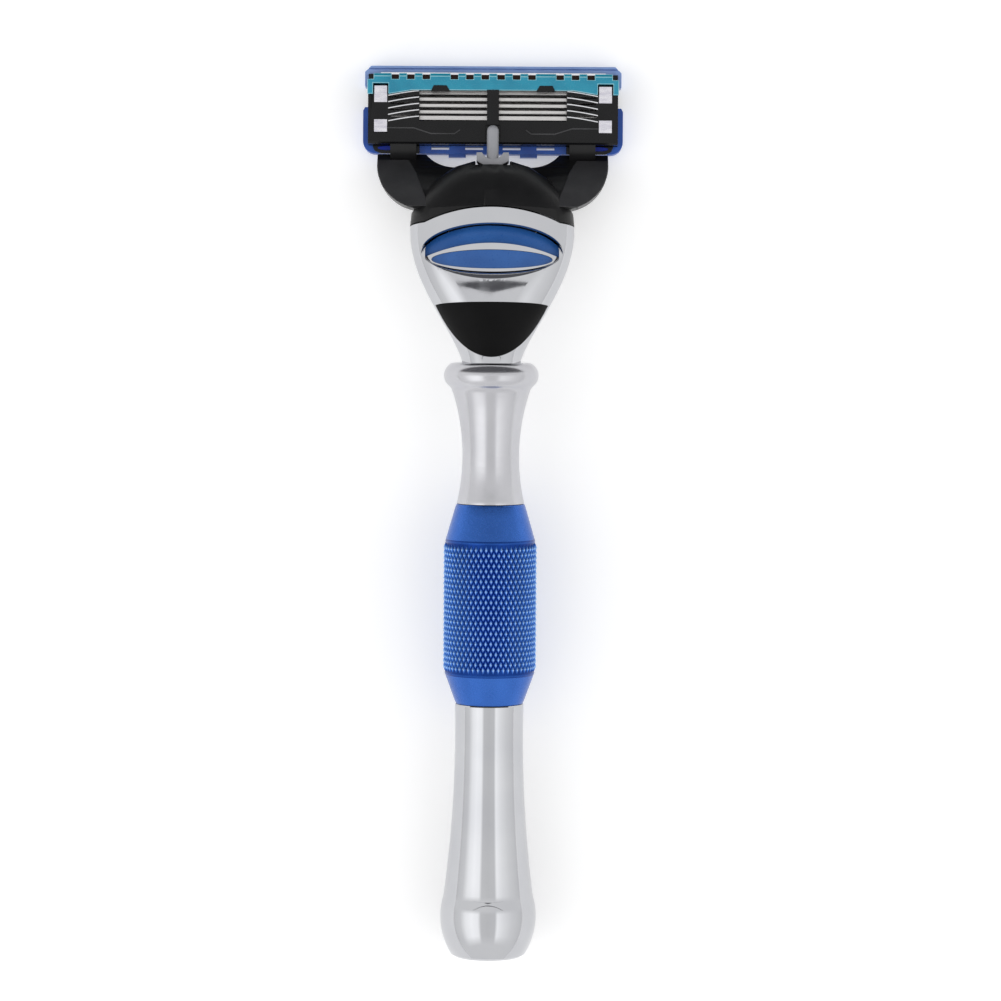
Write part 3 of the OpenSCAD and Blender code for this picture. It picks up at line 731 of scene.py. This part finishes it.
BUTTON_WIDTH = 10.95
BUTTON_LENGTH = 3.72
RAMP_STEP = 0.7
RAMP_SLOPE = 0.2
PAD_AT = 15.92
PAD_WIDTH = 9.65
PAD_LENGTH = 1.52
PAD_BEND = 0.0042
ARCH_TOP = 18.55
ARCH_RADIUS = 34
FRONT_STRETCH = 1.09
RAMP_FLOOR = 1.2
PAD_FLOOR = 2.2
PAD_RECESS = 0.2
BEZEL_FLOOR = 1.6
BEZEL_DEPTH = 2.1
BEZEL_GROW = 0.02
BEZEL_GAP = 0.03
SLED_ROOM = (SLED_WIDTH + 0.05, 2.55)
NOSE_ROOM = (7.2, 2.05)


def button_plan():
    """Outline of the button: the pocket's oval, a little longer in front where it runs under the band."""
    return [(x, t if t < POCKET_AT else POCKET_AT + (t - POCKET_AT) * FRONT_STRETCH)
            for x, t in oval(POCKET_AT, BUTTON_WIDTH, BUTTON_LENGTH)]


def pad_outline(grow=0.0):
    """Outline of the thumb pad, whose ends bend forward a little."""
    return [(x, t + PAD_BEND * x * x) for x, t in oval(PAD_AT, PAD_WIDTH + grow, PAD_LENGTH + grow)]


def front_arch():
    """A wide upright drum, whose front edge is the arch between bezel and ramp."""
    shape = bmesh.new()
    bmesh.ops.create_cone(shape, cap_ends=True, segments=720, radius1=ARCH_RADIUS, radius2=ARCH_RADIUS,
                          depth=30)
    bmesh.ops.translate(shape, vec=(0, ARCH_TOP - ARCH_RADIUS, 5), verts=shape.verts)
    return shape


def make_button():
    """The blue ramp and thumb pad in one moulding, and the chrome bezel round the pad."""
    rooms = [box_between((-half_width, 10, 0), (half_width, CLEAR_AHEAD, top))
             for half_width, top in (SLED_ROOM, NOSE_ROOM)]
    ramp = carved(prism(button_plan(), RAMP_FLOOR, CLEAR_ABOVE), "INTERSECT",
                  roof(BUTTON_CROWN - RAMP_STEP), roof(BUTTON_CROWN - RAMP_STEP, RAMP_SLOPE, ARCH_TOP))
    ramp = carved(ramp, "DIFFERENCE", *rooms)
    pad = carved(prism(pad_outline(), PAD_FLOOR, CLEAR_ABOVE), "INTERSECT", roof(BUTTON_CROWN - PAD_RECESS))
    finished(carved(ramp, "UNION", pad), "button_moulding", "button", BUTTON_BLUE, ON_HEAD,
             ("eject_button",), edge_mm=0.1)
    plan = oval(POCKET_AT, BUTTON_WIDTH + BEZEL_GROW, BUTTON_LENGTH + BEZEL_GROW)
    bezel = carved(prism(plan, BEZEL_FLOOR, CLEAR_ABOVE), "INTERSECT", roof(BUTTON_CROWN), front_arch())
    bezel = carved(bezel, "DIFFERENCE", roof(BUTTON_CROWN - BEZEL_DEPTH),
                   prism(pad_outline(BEZEL_GAP), 0, CLEAR_ABOVE))
    finished(bezel, "button_bezel", "button", CHROME, ON_HEAD, ("button_rim",),
             edge_mm=0.1, steps=3)


# ---- Yoke ----

def across(outline, low, high):
    """A side view of (depth, height) corners, drawn out across the razor."""
    shape = prism(outline, low, high)
    swapped = Matrix(((0, 0, 1, 0), (1, 0, 0, 0), (0, 1, 0, 0), (0, 0, 0, 1)))
    bmesh.ops.transform(shape, matrix=swapped, verts=shape.verts)
    return shape


def mirrored(shape):
    """The same piece for the other side."""
    bmesh.ops.scale(shape, vec=(-1, 1, 1), verts=shape.verts)
    bmesh.ops.reverse_faces(shape, faces=shape.faces)
    return shape


ARM_BACK = [(-0.75, 4.37), (-1.2, 4.9), (-2.2, 6.2), (-6, 10.2), (-8.8, 12.2)]
ARM_CENTRE = (10.9, -1.5)
ARM_RADIUS = 7.72
ARM_SWEEP = -94
ARM_FRONT = -0.75
ARM_CREASE = [(10.75, -7.2), (11.6, -5), (12.3, -3), (13.1, -1.5), (13.6, ARM_FRONT)]
PLATE_ABOVE = 0.28
PLATE_BELOW = 0.35
TIP_SLOT_WIDTH = 2.75
TIP_SLOT_FROM = 31.75
TIP_SLOT_FLOOR = -1.35


def arm_plate():
    """The raised outer half of an arm, which ends inwards in a crease."""
    rim = [(ARM_CENTRE[0] + ARM_RADIUS * cos(turn), ARM_CENTRE[1] + ARM_RADIUS * sin(turn))
           for turn in steps_between(0, radians(ARM_SWEEP), 30)]
    plan = [(ARM_CENTRE[0] + ARM_RADIUS, ARM_FRONT)] + rim + ARM_CREASE
    back = [(v, z + PLATE_ABOVE) for v, z in ARM_BACK]
    belly = [(v, z - PLATE_BELOW) for v, z in reversed(ARM_BACK)]
    return carved(prism(plan, 0, 20), "INTERSECT", across(back + belly, 0, 30))


def make_yoke():
    """The yoke, open at its tip, where the plunger's collar shows."""
    tip_slot = box_between((-TIP_SLOT_WIDTH, TIP_SLOT_FROM, TIP_SLOT_FLOOR), (TIP_SLOT_WIDTH, 36, 8))
    finished(carved(built("yoke", ON_HEAD), "DIFFERENCE", tip_slot), "yoke_moulding", "yoke", BLACK_MOULDING,
             ON_HEAD, ("yoke",), edge_mm=0.12)
    # The arms' outer plates are lighter grey than the yoke moulding: painted light.
    for side, plate in (("right", arm_plate()), ("left", mirrored(arm_plate()))):
        finished(plate, f"yoke_arm_plate_{side}", "yoke", ARM_BLACK_PAINTED_LIGHT, ON_CARTRIDGE,
                 edge_mm=0.1, steps=3)


# ---- Cartridge ----

FRAME_BACK = 6.2
BLADE_PITCH = 1.03
FIRST_BLADE = 5.9
BLADE_HALF_LENGTH = 17.4
FLANGE_AT = 0.24
FLANGE_HEIGHT = (4.12, 4.24)
FLANGE_WIDTH = 0.2
FIRST_FLANGE_WIDTH = 0.34
STRIP_FROM = 11.95
STRIP_SPAN = 5
STRIP_DROP = 0.78
SUNK = 0.1
GROOVE_LOW = (-30, 14.02, 3.4)
GROOVE_HIGH = (30, 14.2, 5)
RIDGE = [(17.1, 4.3), (12.8, 4.3), (10.0, 3.4), (6.2, 3.4), (5.3, 4.05)]
LATCH = [(6.95, 10.15), (10.05, 10.15), (9.6, 11.12), (7.5, 11.12)]
LATCH_TOP = 7.12
GUARD_COVER = [(11.9, 0.42), (18.2, 0.42), (19.2, 0.85), (19.6, 1.74), (11.9, 1.74)]
GUARD_COVER_HEIGHT = (2.9, 3.5)
GUARD_SPOT_CENTRE = (16.85, 1.28)
GUARD_SPOT_SIZE = (1.85, 0.36)
GUARD_SPOT_HEIGHT = (3.4, 3.72)


def ribbon(path, width):
    """Outline of a narrow band along a path of (x, y) points."""
    return [(x, y + width / 2) for x, y in path] + [(x, y - width / 2) for x, y in reversed(path)]


def joined(shapes):
    """Several loose shapes in one."""
    whole = bmesh.new()
    for shape in shapes:
        mesh = bpy.data.meshes.new("loose")
        shape.to_mesh(mesh)
        shape.free()
        whole.from_mesh(mesh)
        bpy.data.meshes.remove(mesh)
    return whole


def for_both_sides(draw):
    return joined([draw(), mirrored(draw())])


def highlight_strip(number):
    """A bright steel strip that curves down into the frame's end: a painted highlight where the frame's black
    spring arms catch the light.
    """
    top = FIRST_BLADE + 0.3 + BLADE_PITCH * number
    path = [(STRIP_FROM + STRIP_SPAN * k, top - STRIP_DROP * k ** 1.3) for k in steps_between(0, 1, 8)]
    return prism(ribbon(path, 0.2), FRAME_BACK - SUNK, FRAME_BACK + 0.05)


def support_strip(number):
    """A built blade support with the wider top that its bent edge shows."""
    width = FLANGE_WIDTH if number else FIRST_FLANGE_WIDTH
    at = FIRST_BLADE + FLANGE_AT + BLADE_PITCH * number
    bottom, top = FLANGE_HEIGHT
    flange = box_between((-BLADE_HALF_LENGTH, at - width, bottom), (BLADE_HALF_LENGTH, at + width, top))
    return joined([built(f"blade_support_{number + 1}", ON_CARTRIDGE), flange])


def make_cartridge_details():
    """The carrier's groove, the blade supports and the frame's small raised parts, with painted light: bright
    strips and lighter ridges as painted highlights, and dark blue pads as painted shade.
    """
    def on_frame(shape, name, material, edge_mm, steps=2, replaces=()):
        finished(shape, name, "cartridge", material, ON_CARTRIDGE, replaces, edge_mm=edge_mm,
                 steps=steps)

    groove = box_between(GROOVE_LOW, GROOVE_HIGH)
    carrier = carved(built("strip_carrier", ON_CARTRIDGE), "DIFFERENCE", groove)
    on_frame(carrier, "strip_holder", PALE_BLUE, 0.08, replaces=("strip_carrier",))
    for number in range(5):
        on_frame(support_strip(number), f"support_strip_{number + 1}", SUPPORT_STEEL, 0.03,
                 replaces=(f"blade_support_{number + 1}",))
        # Bright steel strips at the frame's ends: painted highlights on the black spring arms.
        on_frame(for_both_sides(lambda: highlight_strip(number)), f"painted_highlight_strips_{number + 1}", BLADE_STEEL_AND_HIGHLIGHT,
                 0.03)
    # The frame's ridges are drawn lighter than the frame: a painted highlight.
    ridge = ribbon(RIDGE, 0.24)
    on_frame(for_both_sides(lambda: prism(ridge, FRAME_BACK - SUNK, FRAME_BACK + 0.12)),
             "frame_ridges", BLACK_RIDGE_HIGHLIGHT, 0.05)
    on_frame(for_both_sides(lambda: prism(LATCH, FRAME_BACK - SUNK, LATCH_TOP)),
             "comb_latches", FRAME_BLACK, 0.08)
    on_frame(for_both_sides(lambda: prism(GUARD_COVER, *GUARD_COVER_HEIGHT)),
             "guard_covers", FRAME_BLACK, 0.1)
    # Dark blue pads on the guard covers stand for the guard seen through the gaps; their darker blue is painted
    # shade.
    lens = [(GUARD_SPOT_CENTRE[0] + x, v) for x, v in oval(GUARD_SPOT_CENTRE[1], *GUARD_SPOT_SIZE, count=40)]
    on_frame(for_both_sides(lambda: prism(lens, *GUARD_SPOT_HEIGHT)),
             "guard_shade_spots", GUARD_SHADE_BLUE, 0.14, steps=3)


make_tail()
make_sleeve()
make_neck()
make_head()
make_button()

make_yoke()
refined("plunger", "plunger_moulding", GREY_MOULDING, 0.08)
refined("nose_core", "nose_moulding", BLACK_MOULDING, 0.06)
refined("ejector_sled", "sled_moulding", BLACK_MOULDING, 0.05)
refined("cartridge_frame", "cartridge_moulding", FRAME_BLACK, 0.07)
refined("guard", "guard_moulding", GUARD_BLUE, 0.12, GUARD_EDGE_HIGHLIGHT)
refined("fin_strip", "skin_fins", FIN_BLUE, 0.03)
refined("clip_left", "left_clip", CLIP_METAL, 0.05)
refined("clip_right", "right_clip", CLIP_METAL, 0.05)
refined("lubricating_strip", "soap_strip", SOAP, 0.1)
refined("trimmer_blade", "trimming_blade", TRIMMER_STEEL, 0.02)
refined("trimmer_comb", "trimming_comb", TEAL, 0.1, TEAL_EDGE_HIGHLIGHT)
make_cartridge_details()
for number in range(1, 6):
    refined(f"blade_edge_{number}", f"blade_{number}", BLADE_STEEL_AND_HIGHLIGHT, 0.01)
for hidden in ("tie_rod", "head_stud"):
    keep_node(hidden, ROD_STEEL)
make_spring("plunger_spring", "plunger_coil")
make_spring("button_spring", "button_coil")


# ---- Table, light and camera ----

TABLE_HALF_SIZE = 3
TABLE_GAP = 0.00006
ROOM_LIGHT = 1.6
OVERHEAD = 0.98
CARD_GREY = (0.08, 0.08, 0.085, 1)
# Brightness of the banks by the angle from straight up, in degrees towards the right
BANKS = [(-180, 0.9), (-88, 0.9), (-70, 1.0), (-56, 1.4), (-40, 1.56), (-24, 1.46), (-17, 0.9), (0, 0.86),
         (17, 0.9), (23, 1.46), (40, 1.24), (60, 1.05), (88, 0.9), (180, 0.9)]
# Levels by direction along the razor, from -1 at the tail's side to 1 at the cartridge's
BANK_LENGTH = [(-1, 0), (-0.75, 0), (-0.55, 1), (0.02, 1), (0.12, 0), (1, 0)]
BAR_WIDTH = [(-1, 0), (0.2525, 0), (0.254, 0.56), (0.2675, 0.62), (0.269, 0), (1, 0)]
BAR_BEND = 0.416
END_WALL = [(-1, 0), (0.42, 0), (0.46, 1), (1, 1)]
SOFTBOX_SIZE = (0.25, 0.6)
SOFTBOX_POWER = 0.2


def make_table():
    """A plain white table top, a hair below the razor."""
    shape = bmesh.new()
    bmesh.ops.create_grid(shape, x_segments=1, y_segments=1, size=TABLE_HALF_SIZE)
    bmesh.ops.translate(shape, vec=(0, 0, -TABLE_GAP), verts=shape.verts)
    mesh = bpy.data.meshes.new("table")
    shape.to_mesh(mesh)
    shape.free()
    table = bpy.data.objects.new("table", mesh)
    bpy.context.scene.collection.objects.link(table)
    white = Finish("table_white", roughness=0.9, specular=0.1)
    white.shader.inputs["Emission Color"].default_value = (1, 1, 1, 1)
    white.shader.inputs["Emission Strength"].default_value = 0.3
    white.paint(white.colours(white.grain(40), (0.3, [0.86, 0.86, 0.86, 1]), (0.7, [0.88, 0.88, 0.88, 1])))
    mesh.materials.append(white.material)


def make_room():
    """A pale room: long bright banks left and right, a dimmer strip overhead, and two dark cards."""
    world = bpy.data.worlds.new("studio")
    bpy.context.scene.world = world
    world.use_nodes = True
    tree = world.node_tree

    def join(source, target):
        tree.links.new(source, target)

    def worked(operation, *values):
        step = tree.nodes.new("ShaderNodeMath")
        step.operation = operation
        for value, socket in zip(values, step.inputs):
            if isinstance(value, float):
                socket.default_value = value
            else:
                join(value, socket)
        return step.outputs["Value"]

    def shared(value, low, high):
        share = tree.nodes.new("ShaderNodeMapRange")
        share.inputs["From Min"].default_value = low
        share.inputs["From Max"].default_value = high
        join(value, share.inputs["Value"])
        return share.outputs["Result"]

    def ramped(value, low, high, stops):
        """Levels that change with a value. Each stop is (value, level)."""
        ramp = tree.nodes.new("ShaderNodeValToRGB")
        marks = ramp.color_ramp.elements
        for _ in stops[2:]:
            marks.new(0.5)
        for mark, (where, level) in zip(marks, stops):
            mark.position = (where - low) / (high - low)
            mark.color = (level, level, level, 1)
        join(shared(value, low, high), ramp.inputs["Fac"])
        return ramp.outputs["Color"]

    parts = tree.nodes.new("ShaderNodeSeparateXYZ")
    join(tree.nodes.new("ShaderNodeTexCoord").outputs["Generated"], parts.inputs["Vector"])
    sideways, forward, upward = (parts.outputs[axis] for axis in "XYZ")
    banks = ramped(worked("ARCTAN2", sideways, upward), -pi, pi,
                   [(radians(degrees), level / ROOM_LIGHT) for degrees, level in BANKS])
    bank_length = ramped(forward, -1, 1, BANK_LENGTH)
    room = tree.nodes.new("ShaderNodeMix")
    room.data_type = "RGBA"
    join(bank_length, room.inputs["Factor"])
    room.inputs["A"].default_value = (OVERHEAD / ROOM_LIGHT,) * 3 + (1,)
    join(banks, room.inputs["B"])
    # A long low card, bent to suit the head's crown, which shows it as a short dark bar
    bent = worked("ADD", forward, worked("MULTIPLY", worked("MULTIPLY", sideways, sideways), BAR_BEND))
    on_bar = worked("LESS_THAN", worked("ABSOLUTE", sideways), ramped(bent, -1, 1, BAR_WIDTH))
    on_card = worked("MAXIMUM", on_bar, ramped(forward, -1, 1, END_WALL))
    lit = tree.nodes.new("ShaderNodeMix")
    lit.data_type = "RGBA"
    join(on_card, lit.inputs["Factor"])
    join(room.outputs["Result"], lit.inputs["A"])
    lit.inputs["B"].default_value = CARD_GREY
    join(lit.outputs["Result"], tree.nodes["Background"].inputs["Color"])
    tree.nodes["Background"].inputs["Strength"].default_value = ROOM_LIGHT


def softbox(name, place):
    """A soft lamp that shines on the razor's middle and isn't seen in the chrome."""
    light = bpy.data.lights.new(name, "AREA")
    light.shape = "RECTANGLE"
    light.size, light.size_y = SOFTBOX_SIZE
    light.energy = SOFTBOX_POWER
    lamp = bpy.data.objects.new(name, light)
    lamp.visible_glossy = False
    lamp.location = place
    lamp.rotation_euler = (-Vector(place)).to_track_quat("-Z", "Y").to_euler()
    bpy.context.scene.collection.objects.link(lamp)


def make_camera():
    """A long lens, straight above the razor."""
    camera = bpy.data.cameras.new("camera")
    camera.lens = 132.2
    camera.sensor_width = 36
    camera.clip_start = 0.01
    view = bpy.data.objects.new("camera", camera)
    view.location = (0.0016, 0.0016, 0.6)
    view.rotation_euler = (0, 0, radians(0.36))
    bpy.context.scene.collection.objects.link(view)
    bpy.context.scene.camera = view


make_table()
make_room()
softbox("left_softbox", (-0.42, 0.0, 0.34))
softbox("right_softbox", (0.42, 0.0, 0.34))
make_camera()
bpy.context.scene.view_settings.view_transform = "Standard"
